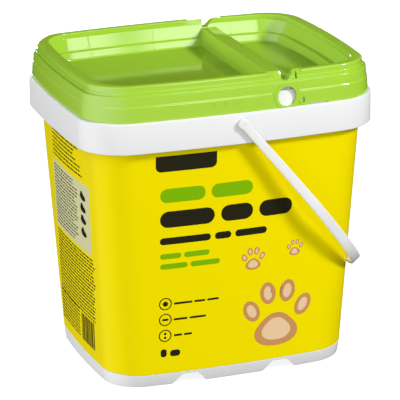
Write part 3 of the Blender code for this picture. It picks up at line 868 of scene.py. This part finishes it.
    def strip_cuts(self) -> list[bpy.types.Object]:
        """Return the bodies that cut the finger hole, the tab's slot and the pry notch."""
        shape = self.shape
        centre, tab = self.strip_places()
        ends = (-shape.collar.half_y - PAST, self.strip_inside)
        left, right, height = self.pry
        low, high = shape.skirt_low - PAST, shape.skirt_low + height
        notch = [(left, low), (right + 2.0, low), (right - 1.0, high), (left + 0.8, high)]
        return [
            prism("finger_hole", circle(centre, self.hole_radius, steps=72), *ends),
            prism("tab_slot", circle(tab, self.slot_radius, self.slot_stretch, 32), *ends),
            prism("pry_notch", notch, *ends),
        ]

    def wall_ribs(self) -> list[bpy.types.Object]:
        """Return the low upright ribs on the back wall of the recess.

        Each lies along the wall: its base is sunk into the wall, and its narrower face stands a
        little proud of it from the rib's foot to its head.
        """
        shape = self.shape
        upper = (shape.ledge + 0.3, shape.recess_plan(shape.ledge),
                 shape.ring_high - self.brink_drop, shape.recess_plan(shape.ring_high, self.brink_step))
        foot_inset = self.ledge_width + self.floor_draft
        lower = (shape.recess_floor + 1.0, shape.recess_plan(shape.ledge, foot_inset),
                 shape.ledge - 0.4, shape.recess_plan(shape.ledge, self.ledge_width))
        tools = []
        for x in self.rib_places:
            for low, plan_low, high, plan_high in (upper, lower):
                corners = [(x + across, plan.side_at(x) + depth, level)
                           for level, plan in ((low, plan_low), (high, plan_high))
                           for across, depth in self.rib_section]
                tools.append(hull(f"wall_rib_{x:g}_{low:g}", corners))
        return tools

    def chevron_marks(self) -> list[bpy.types.Object]:
        """Return the small raised chevrons on the tear strip, which point to the finger hole."""
        shape = self.shape
        drafted = shape.skirt.towards(shape.shoulder, 0.35)
        tools = []
        for x in self.chevrons:
            face = drafted.side_at(x)
            outline = np.array(self.chevron) + (x, shape.skirt_low + self.chevron_rise)
            tools.append(prism(f"chevron_{x:g}", outline, -face - 0.22, -face + 0.6))
        return tools

    def mark_painted_shade(self, lid: bpy.types.Object) -> None:
        """Mark the points of the recess floor, on which the lid's material paints shade."""
        points = np.empty(len(lid.data.vertices) * 3)
        lid.data.vertices.foreach_get("co", points)
        points = points.reshape(-1, 3) / MM
        plan = self.shape.recess_plan(self.shape.ledge)
        marked = np.abs(points[:, 2] - self.shape.recess_floor) < 0.8
        marked &= (np.abs(points[:, 0]) < plan.half_x) & (np.abs(points[:, 1]) < plan.half_y)
        mark = lid.data.attributes.new(SHADE_MARK, "FLOAT", "POINT")
        mark.data.foreach_set("value", marked.astype(float))

    def build(self) -> None:
        """Build the lid and let it stand for its solid."""
        lid = self.carry("lid_shell", self.section())
        apply_tools(lid, [self.hinge_band(), *self.ring_cores()], Action.JOIN)
        apply_tools(lid, [self.gap(), *self.gussets()], Action.CUT)
        apply_tools(lid, self.bosses() + self.wall_ribs() + self.chevron_marks(), Action.JOIN)
        apply_tools(lid, self.strip_cuts(), Action.CUT)
        self.mark_painted_shade(lid)
        smooth(lid)
        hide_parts("lid")
        settle(lid, GREEN_MOULDING, "pail")


# Label


class Wrap:
    """The map from the flat print to the film's outer face.

    A place on the print is (s, z): s runs along the outline from the middle of the front, and is
    positive to the right, and z is the height. The map reads a table of outlines at even shares of
    their length, by interpolation between its four nearest points.
    """

    rows = 60
    columns = 1440

    def __init__(self, shape: Shape, outline: Outline) -> None:
        """Work out the table of points and normals, by level and place round the outline."""
        self.low, self.high = shape.film_start, shape.film_end
        stations = shape.wall_stations(self.low, self.high, 0.0, self.rows)
        loops = np.roll(outline.points(stations), -outline.back_middle, axis=1)
        loops = np.concatenate((loops, loops[:, :1]), axis=1)
        runs = np.cumsum(np.linalg.norm(np.diff(loops, axis=1), axis=2), axis=1)
        runs = np.concatenate((np.zeros((self.rows, 1)), runs), axis=1)
        self.lengths = runs[:, -1]
        even = np.linspace(0.0, 1.0, self.columns + 1)
        self.points = np.array([[np.interp(even, run / run[-1], loop[:, axis]) for axis in range(3)]
                                for run, loop in zip(runs, loops)]).transpose(0, 2, 1)
        up, along = np.gradient(self.points, axis=(0, 1))
        normals = np.cross(along, up)
        self.normals = normals / np.linalg.norm(normals, axis=2, keepdims=True)

    def place(self, s: np.ndarray, z: np.ndarray, lift: np.ndarray | float) -> np.ndarray:
        """Put places of the print on the film.

        Args:
            s: Lengths along the outline.
            z: Heights.
            lift: How far above the film's outer face the points stand.

        Returns:
            Points, with a last axis of X, Y and Z.
        """
        row = np.clip((z - self.low) / (self.high - self.low) * (self.rows - 1), 0.0, self.rows - 1.001)
        around = np.interp(row, np.arange(self.rows), self.lengths)
        column = np.clip((s / around + 0.5) * self.columns, 0.0, self.columns - 0.001)
        r, c = np.floor(row).astype(int), np.floor(column).astype(int)
        u, v = (row - r)[..., None], (column - c)[..., None]

        def read(table: np.ndarray) -> np.ndarray:
            """Read a table between its four nearest points."""
            low = table[r, c] * (1 - v) + table[r, c + 1] * v
            high = table[r + 1, c] * (1 - v) + table[r + 1, c + 1] * v
            return low * (1 - u) + high * u

        lift = np.broadcast_to(lift, np.shape(s))[..., None]
        return read(self.points) + read(self.normals) * lift


def disc_grid(steps: int) -> tuple[np.ndarray, np.ndarray]:
    """Return a square grid (u, v) drawn to a disc: x = u sqrt(1 - v^2 / 2), y = v sqrt(1 - u^2 / 2)."""
    u, v = np.meshgrid(np.linspace(-1, 1, steps), np.linspace(-1, 1, steps))
    return u * np.sqrt(1 - v ** 2 / 2), v * np.sqrt(1 - u ** 2 / 2)


class Ink:
    """A set of thin closed patches of one ink on the film."""

    rise = 0.06
    root = -0.05
    longest = 4.0

    def __init__(self, name: str, finish: Plastic, wrap: Wrap, layer: int = 1) -> None:
        """Start an empty set.

        Args:
            name: The piece's name.
            finish: The ink's finish.
            wrap: The map from print to film.
            layer: How many inks lie on each other here.
        """
        self.name, self.finish, self.wrap, self.layer = name, finish, wrap, layer
        self.points: list[np.ndarray] = []
        self.faces: list[list[int]] = []
        self.count = 0

    def _add(self, s: np.ndarray, z: np.ndarray, ring: bool = False) -> None:
        """Add one patch from a grid of places: its front, its back and the edges between."""
        front = self.wrap.place(s, z, self.rise * self.layer)
        back = self.wrap.place(s, z, self.root)
        grid = np.concatenate((front, back[::-1]), axis=0)
        rows, columns = grid.shape[:2]
        faces = (grid_faces(rows, columns, True, ring) + self.count).tolist()
        if not ring:
            first = self.count + np.arange(rows) * columns
            faces.append(first.tolist())
            faces.append((first[::-1] + columns - 1).tolist())
        self.points.append(grid.reshape(-1, 3))
        self.faces.extend(faces)
        self.count += rows * columns

    def bar(self, left: float, right: float, low: float, high: float, radius: float = 0.0,
            square_top: bool = False) -> None:
        """Add a bar with rounded corners.

        The bar is a row of upright lines. A line at a distance d from the nearer end is shortened
        at both ends by r - sqrt(r^2 - (r - d)^2).

        Args:
            left: Where the bar starts along the outline.
            right: Where it ends.
            low: Its lower edge.
            high: Its upper edge.
            radius: The radius of its corners.
            square_top: Whether only the lower corners are rounded.
        """
        radius = min(radius, (right - left) / 2, (high - low) * (0.98 if square_top else 0.49))
        steps = max(2, int((right - left) / self.longest) + 1)
        s = np.linspace(left + radius, right - radius, steps)
        if radius > 0.0:
            round_off = radius * (1 - np.cos(np.linspace(0.0, np.pi / 2, 6)[:-1]))
            s = np.concatenate((left + round_off, s, right - round_off[::-1]))
        inward = np.clip(np.minimum(s - left, right - s), 0.0, radius)
        cut = radius - np.sqrt(np.maximum(radius ** 2 - (radius - inward) ** 2, 0.0))
        share = np.linspace(0.0, 1.0, 3)[:, None]
        z = (low + cut) + (high - low - (1 if square_top else 2) * cut) * share
        self._add(np.broadcast_to(s, z.shape), z)

    def disc(self, s: float, z: float, width: float, height: float, turn: float = 0.0) -> None:
        """Add an oval.

        Args:
            s: Its middle along the outline.
            z: Its middle's height.
            width: Its width.
            height: Its height.
            turn: How far it is turned, in degrees, anticlockwise.
        """
        x, y = disc_grid(11)
        x, y = x * width / 2, y * height / 2
        cosine, sine = math.cos(math.radians(turn)), math.sin(math.radians(turn))
        self._add(s + x * cosine - y * sine, z + x * sine + y * cosine)

    def pad(self, s: float, z: float, size: float) -> None:
        """Add a paw's main pad.

        It is a disc whose radius changes with the angle t from its middle: it is wider than high,
        and three shallow lobes bulge along its lower edge, r (1 - 0.13 sin t + 0.07 cos 3 (t + 30)).

        Args:
            s: Its middle along the outline.
            z: Its middle's height.
            size: Its width.
        """
        x, y = disc_grid(17)
        turn = np.arctan2(y, x)
        lobes = 1.0 - 0.13 * np.sin(turn) + 0.07 * np.cos(3.0 * turn + np.pi / 2)
        self._add(s + x * lobes * size / 2, z + y * lobes * size * 0.40)

    def ring(self, s: float, z: float, inner: float, outer: float) -> None:
        """Add a ring between two radii: s + r cos t, z + r sin t."""
        radius, turn = np.array([[inner], [outer]]), np.linspace(0.0, 2.0 * np.pi, 40, endpoint=False)
        self._add(s + radius * np.cos(turn), z + radius * np.sin(turn), ring=True)

    def build(self) -> None:
        """Build the patches as one piece."""
        item = make_object(self.name, np.concatenate(self.points), self.faces)
        smooth(item, 40.0)
        settle(item, self.finish, "pail")


class Label(Piece):
    """The printed film round the wall, with a plain design of bars, rings and pads."""

    film = 0.4
    margin = -226.0

    def __init__(self, shape: Shape, outline: Outline) -> None:
        """Work out the map of the print, and seed the small print's lengths."""
        super().__init__(shape, outline)
        self.wrap = Wrap(shape, outline)
        self.chance = np.random.default_rng(7)

    def sleeve(self) -> None:
        """Build the film as a closed sleeve and let it stand for its solid."""
        low, high = levels_of("wall_label")
        outside = self.shape.wall_stations(low, high, 0.0, 12)
        inside = self.shape.wall_stations(high, low, self.film, 3)
        sleeve = self.carry("label_film", outside + inside, closed=True)
        smooth(sleeve, 40.0)
        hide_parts("wall_label")
        settle(sleeve, YELLOW_FILM, "pail")

    def dashes(self, ink: Ink, right: float, z: float, height: float) -> None:
        """Add a row of short bars of uneven length, as wide as words in small print."""
        start = self.margin
        while start < right:
            end = min(start + self.chance.uniform(2.2, 8.5), right)
            if end - start > 1.0:
                ink.bar(start, end, z - height / 2, z + height / 2)
            start = end + 1.3

    def front(self) -> list[Ink]:
        """Lay out the front: a dark tab, thick and thin bars, and three rings beside short bars."""
        black = Ink("print_dark", BLACK_INK, self.wrap)
        green = Ink("print_green", GREEN_INK, self.wrap)
        black.bar(-70.9, -19.8, 188.0, 201.4, 4.6, square_top=True)
        for ink, low, high, radius, spans in (
                (green, 161.5, 173.5, 6.0, ((-67.0, -29.0), (-24.0, 11.5))),
                (black, 140.0, 154.0, 7.0, ((-67.0, -21.0), (-15.5, 12.0), (17.5, 46.5))),
                (black, 125.4, 131.4, 3.0, ((-67.0, -24.0), (-20.5, -6.5), (-3.0, 24.5))),
                (green, 112.9, 117.5, 2.3, ((-66.6, -49.0), (-46.5, -25.0))),
                (green, 104.1, 108.7, 2.3, ((-66.6, -43.5), (-41.0, -16.0)))):
            for left, right in spans:
                ink.bar(left, right, low, high, radius)
        for z, ends in ((73.6, ((-54.8, -39.0), (-37.4, -28.0), (-26.4, -16.4))),
                        (59.6, ((-54.8, -43.0), (-41.4, -27.1))), (45.4, ((-54.5, -47.5), (-46.0, -39.0)))):
            black.ring(-61.9, z, 4.5, 5.4)
            for left, right in ends:
                black.bar(left, right, z - 1.3, z + 0.5, 0.9)
        black.disc(-61.9, 73.6, 4.4, 4.4)
        black.bar(-64.6, -59.2, 58.7, 60.5, 0.9)
        black.disc(-61.9, 47.1, 2.2, 2.2)
        black.disc(-61.9, 43.6, 2.2, 2.2)
        black.bar(-65.6, -60.4, 26.4, 33.4, 2.4)
        black.bar(-57.6, -49.0, 26.4, 32.0, 2.4)
        return [black, green]

    def paws(self) -> list[Ink]:
        """Lay out one large paw print and two small ones in ginger and cream."""
        ginger = Ink("print_ginger", GINGER_INK, self.wrap)
        pale = Ink("print_pale", PALE_INK, self.wrap, layer=2)
        toes = ((-0.36, 0.13, 26.0), (-0.13, 0.36, 8.0), (0.15, 0.36, -8.0), (0.38, 0.13, -26.0))
        for s, z, size in ((35.0, 49.0, 62.0), (13.0, 103.0, 21.0), (50.0, 108.0, 15.0)):
            ginger.pad(s, z - 0.16 * size, 0.60 * size)
            pale.pad(s, z - 0.16 * size, 0.40 * size)
            for across, up, turn in toes:
                ginger.disc(s + across * size, z + up * size, 0.22 * size, 0.32 * size, turn)
                pale.disc(s + across * size, z + up * size, 0.12 * size, 0.20 * size, turn)
        return [ginger, pale]

    def side(self) -> list[Ink]:
        """Lay out the left end: rows of short bars, a cream panel with four marks, and upright bars."""
        cream = Ink("print_cream", CREAM_INK, self.wrap)
        small = Ink("print_small", BLACK_INK, self.wrap, layer=2)
        cream.bar(-229.0, -136.5, 108.0, 168.5, 0.4)
        for z in np.arange(196.5, 172.0, -3.7):
            self.dashes(small, self.chance.uniform(-176.0, -150.0), z, 1.3)
        for z in np.arange(164.6, 111.0, -3.1):
            self.dashes(small, self.chance.uniform(-176.0, -162.0), z, 1.1)
        for z in (157.2, 146.6, 136.2, 124.8):
            small.disc(-151.5, z - 1.0, 12.0, 5.6, -8.0)
            small.disc(-153.5, z + 1.8, 6.0, 4.4, -8.0)
        for z in np.arange(104.4, 47.5, -3.1):
            self.dashes(small, self.chance.uniform(-136.0, -130.0), z, 1.3)
        for z in np.arange(47.5, 22.0, -3.1):
            self.dashes(small, -173.0, z, 1.3)
        place = -168.0
        while place < -138.0:
            width = self.chance.choice([0.7, 1.2, 1.9])
            small.bar(place, place + width, 21.0, 46.0)
            place += width + self.chance.choice([0.7, 1.1, 1.6])
        return [cream, small]

    def build(self) -> None:
        """Build the film and every ink on it."""
        self.sleeve()
        for ink in (*self.front(), *self.paws(), *self.side()):
            ink.build()


# Handle


class Strap:
    """The white strap handle with its two round pins."""

    thickness = 2.6
    gap = 0.5
    overhang = 59.1
    straight = 93.0
    lean_radius = 137.0
    lean = math.radians(10.5)
    corner = 53.1
    bow = 1.3
    eye = 4.3
    narrow = 7.0
    wide = 9.2
    rest_degrees = 51.2678
    edge = 0.9
    pin_radius = 3.4
    head_radius = 4.3
    head_thickness = 1.0
    dimple_radius = 1.0
    dimple_depth = 0.35

    def __init__(self, shape: Shape) -> None:
        """Keep the shared shape."""
        self.shape = shape
        self.reach = shape.collar.half_x + self.overhang

    def path(self) -> tuple[np.ndarray, np.ndarray, np.ndarray]:
        """Return the strap's middle line in its flat plane.

        The arm runs straight out from the eye. It leans inwards on an arc of a wide radius, runs on
        straight, and bends to the cross bar on an arc of a tighter radius: on both arcs
        (x, y) = centre + radius (sin h, -cos h) for the heading h. The other half mirrors the first.

        Returns:
            The lengths along the arm, the depths across, and the headings.
        """
        across = self.shape.collar.half_y + self.gap + self.thickness / 2
        corner = self.corner - self.thickness / 2
        bend = self.reach - self.thickness / 2 - corner
        eye = self.eye * np.sin(np.radians(np.linspace(-86.0, 0.0, 12)))
        arm = np.linspace(0.3, self.straight, 30)
        leaning = np.linspace(0.0, self.lean, 9)[1:]
        lean_x = self.straight + self.lean_radius * np.sin(leaning)
        lean_y = self.lean_radius * (1 - np.cos(leaning)) - across
        turn = np.linspace(self.lean, np.pi / 2, 40)
        bend_x = bend + corner * np.sin(turn)
        start = lean_y[-1] + (bend_x[0] - lean_x[-1]) * math.tan(self.lean)
        bend_y = start + corner * (math.cos(self.lean) - np.cos(turn))
        bar = np.linspace(bend_y[-1], 0.0, 8)[1:]
        level = np.zeros(len(eye) + len(arm))
        upright = np.full(len(bar), np.pi / 2)
        along = np.concatenate((eye, arm, lean_x, bend_x, np.full(len(bar), bend_x[-1])))
        depth = np.concatenate((level - across, lean_y, bend_y, bar))
        heading = np.concatenate((level, leaning, turn, upright))
        return (np.concatenate((along, along[-2::-1])), np.concatenate((depth, -depth[-2::-1])),
                np.concatenate((heading, np.pi - heading[-2::-1])))

    def half_width(self, along: np.ndarray) -> np.ndarray:
        """Return half the strap's width: round at the eye, and wider towards the cross bar."""
        share = np.clip(along, 0.0, None) / self.reach
        strap = (self.narrow + (self.wide - self.narrow) * share) / 2
        round_eye = np.sqrt(np.clip(self.eye ** 2 - along ** 2, 0.0, None))
        return np.where(along < 0.0, round_eye, np.maximum(round_eye, strap))

    def band(self) -> bpy.types.Object:
        """Return the strap as a rounded section carried along its path.

        The section is a rectangle with corners of a small radius, given by quarter arcs about its
        four corner centres, and it turns with the path's heading.
        """
        along, depth, heading = self.path()
        half = self.half_width(along)
        edge = np.minimum(self.edge, half * 0.6)[:, None]
        angle = (np.radians(90.0) * np.arange(4)[:, None] + np.linspace(0.0, np.pi / 2, 5)).ravel()
        sign = np.repeat(CORNERS, 5, axis=0)
        out = sign[:, 0] * (self.thickness / 2 - edge) + edge * np.cos(angle)
        share = np.clip(along / self.reach, 0.0, 1.0)[:, None]
        bow = 4.0 * self.bow * share * (1.0 - share)
        up = sign[:, 1] * (half[:, None] - edge) + edge * np.sin(angle) + bow
        x = along[:, None] + out * np.sin(heading)[:, None]
        y = depth[:, None] - out * np.cos(heading)[:, None]
        return loft("strap", xyz(x, y, up))

    def pins(self) -> list[bpy.types.Object]:
        """Return the pins and their heads inside the collar."""
        face = self.shape.collar.half_y
        root, tip = face + self.gap + self.thickness / 2, face - 3.1
        pin, head = (circle((0.0, 0.0), radius, steps=40) for radius in (self.pin_radius, self.head_radius))
        return prism_pair("pin", pin, tip, root) + prism_pair("head", head, tip, tip + self.head_thickness)

    def dimples(self) -> list[bpy.types.Object]:
        """Return the bodies that cut the small dimple over each pin."""
        outer = self.shape.collar.half_y + self.gap + self.thickness
        ring = circle((0.0, 0.0), self.dimple_radius, steps=24)
        return prism_pair("dimple", ring, outer - self.dimple_depth, outer + PAST)

    def build(self) -> None:
        """Build the strap, turn it to where it rests and let it stand for its solid."""
        strap = self.band()
        apply_tools(strap, self.pins(), Action.JOIN)
        apply_tools(strap, self.dimples(), Action.CUT)
        pivot = Matrix.Translation((0.0, 0.0, self.shape.pivot * MM))
        strap.data.transform(pivot @ Matrix.Rotation(math.radians(self.rest_degrees), 4, "Y"))
        smooth(strap)
        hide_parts("handle")
        settle(strap, WHITE_STRAP, "handle")


# Light, floor and camera


@dataclass(frozen=True)
class Softbox:
    """An area light that looks at the pail."""

    name: str
    place: Place
    width: float
    height: float
    power: float
    aim: Place = (0.0, 0.0, 0.13)

    def build(self) -> None:
        """Hang the light and turn it to its aim."""
        light = bpy.data.lights.new(self.name, "AREA")
        light.shape = "RECTANGLE"
        light.size = self.width
        light.size_y = self.height
        light.energy = self.power
        lamp = bpy.data.objects.new(self.name, light)
        lamp.location = self.place
        lamp.visible_camera = False
        lamp.rotation_euler = (Vector(self.aim) - Vector(self.place)).to_track_quat("-Z", "Y").to_euler()
        bpy.context.scene.collection.objects.link(lamp)


@dataclass(frozen=True)
class Glow:
    """A soft glow of the room's walls: brightest in one direction, and none a right angle from it."""

    towards: Place
    strength: float
    sharpness: float = 1.0


class Studio:
    """A pale floor, soft lights and the camera at the photograph's angle, in degrees and metres."""

    azimuth = -20.24
    elevation = 18.28
    roll = -0.56
    distance = 2.1656
    target = (0.00077, 0.0, 0.1281)
    focal_pixels = 2575.2
    image_pixels = 400.0
    sensor = 36.0
    clip_end = 50.0
    floor_reach = 6.0
    floor_level = -0.0002
    floor_glow = 0.80
    glows = (
        Glow((-0.95, -0.15, 0.25), 1.75, 2.0),
        Glow((-0.70, -0.65, -0.30), 0.42),
        Glow((0.0, 0.0, -1.0), 0.05),
    )
    boxes = (
        Softbox("key_box", (2.00, -1.72, 1.94), 0.55, 0.55, 85.0),
        Softbox("strip_box", (0.68, -2.30, 0.87), 0.46, 1.05, 7.0),
        Softbox("edge_box", (1.16, -2.20, 0.87), 0.30, 1.05, 4.4),
        Softbox("back_box", (0.10, 2.60, 0.33), 0.90, 0.84, 34.0),
    )

    def floor(self) -> None:
        """Lay a large pale floor, lit from within as a light table is.

        The pail takes its light from below from the room's glows, so the floor throws none on it.
        """
        ticks = np.linspace(-self.floor_reach, self.floor_reach, 3)
        points = xyz(ticks, ticks[:, None], self.floor_level) / MM
        floor = make_object("floor", points, grid_faces(3, 3).tolist())
        dress(floor, FLOOR_PAPER)
        shader = floor.data.materials[0].node_tree.nodes["Principled BSDF"]
        shader.inputs["Emission Color"].default_value = (1.0, 1.0, 1.0, 1.0)
        shader.inputs["Emission Strength"].default_value = self.floor_glow
        floor.visible_diffuse = False
        floor.visible_glossy = False

    def sky(self) -> None:
        """Light the room by its glows, each of a strength times max(0, cosine) ^ sharpness."""
        world = bpy.data.worlds.new("studio")
        bpy.context.scene.world = world
        nodes = Nodes(world, "Background")
        place = nodes.add("TexCoord", "Generated")
        total = 0.0
        for glow in self.glows:
            direction = Vector(glow.towards).normalized()
            facing = nodes.add("VectorMath", "Value", {0: place, 1: direction}, operation="DOT_PRODUCT")
            lit = nodes.add("Math", "Value", {0: facing, 1: 0.0}, operation="MAXIMUM")
            shaped = nodes.add("Math", "Value", {0: lit, 1: glow.sharpness}, operation="POWER")
            terms = {0: shaped, 1: glow.strength, 2: total}
            total = nodes.add("Math", "Value", terms, operation="MULTIPLY_ADD")
        nodes.feed(nodes.last, {"Color": (1.0, 1.0, 1.0, 1.0), "Strength": total})

    def camera(self) -> None:
        """Place the camera from its azimuth, elevation, roll and distance."""
        azimuth, elevation, roll = (math.radians(a) for a in (self.azimuth, self.elevation, self.roll))
        back = np.array([math.sin(azimuth) * math.cos(elevation), -math.cos(azimuth) * math.cos(elevation),
                         math.sin(elevation)])
        level = np.cross((0.0, 0.0, 1.0), back)
        level /= np.linalg.norm(level)
        upright = np.cross(back, level)
        right = math.cos(roll) * level + math.sin(roll) * upright
        up = -math.sin(roll) * level + math.cos(roll) * upright
        data = bpy.data.cameras.new("camera")
        data.sensor_width = self.sensor
        data.lens = self.focal_pixels / self.image_pixels * self.sensor
        data.clip_end = self.clip_end
        camera = bpy.data.objects.new("camera", data)
        pose = np.eye(4)
        pose[:3] = np.column_stack((right, up, back, np.array(self.target) + back * self.distance))
        camera.matrix_world = Matrix(pose)
        bpy.context.scene.collection.objects.link(camera)
        bpy.context.scene.camera = camera

    def build(self) -> None:
        """Set the whole studio up."""
        bpy.context.scene.view_settings.view_transform = "Standard"
        self.floor()
        self.sky()
        self.camera()
        for box in self.boxes:
            box.build()


def main() -> None:
    """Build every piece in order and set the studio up."""
    logging.basicConfig(level=logging.INFO, format="%(name)s: %(message)s")
    shape, outline = Shape(), Outline()
    Tub(shape, outline).build()
    Lid(shape, outline).build()
    Label(shape, outline).build()
    Strap(shape).build()
    dress(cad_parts["litter"], CLAY_GRAINS)
    Studio().build()


if __name__ == "__main__":
    main()
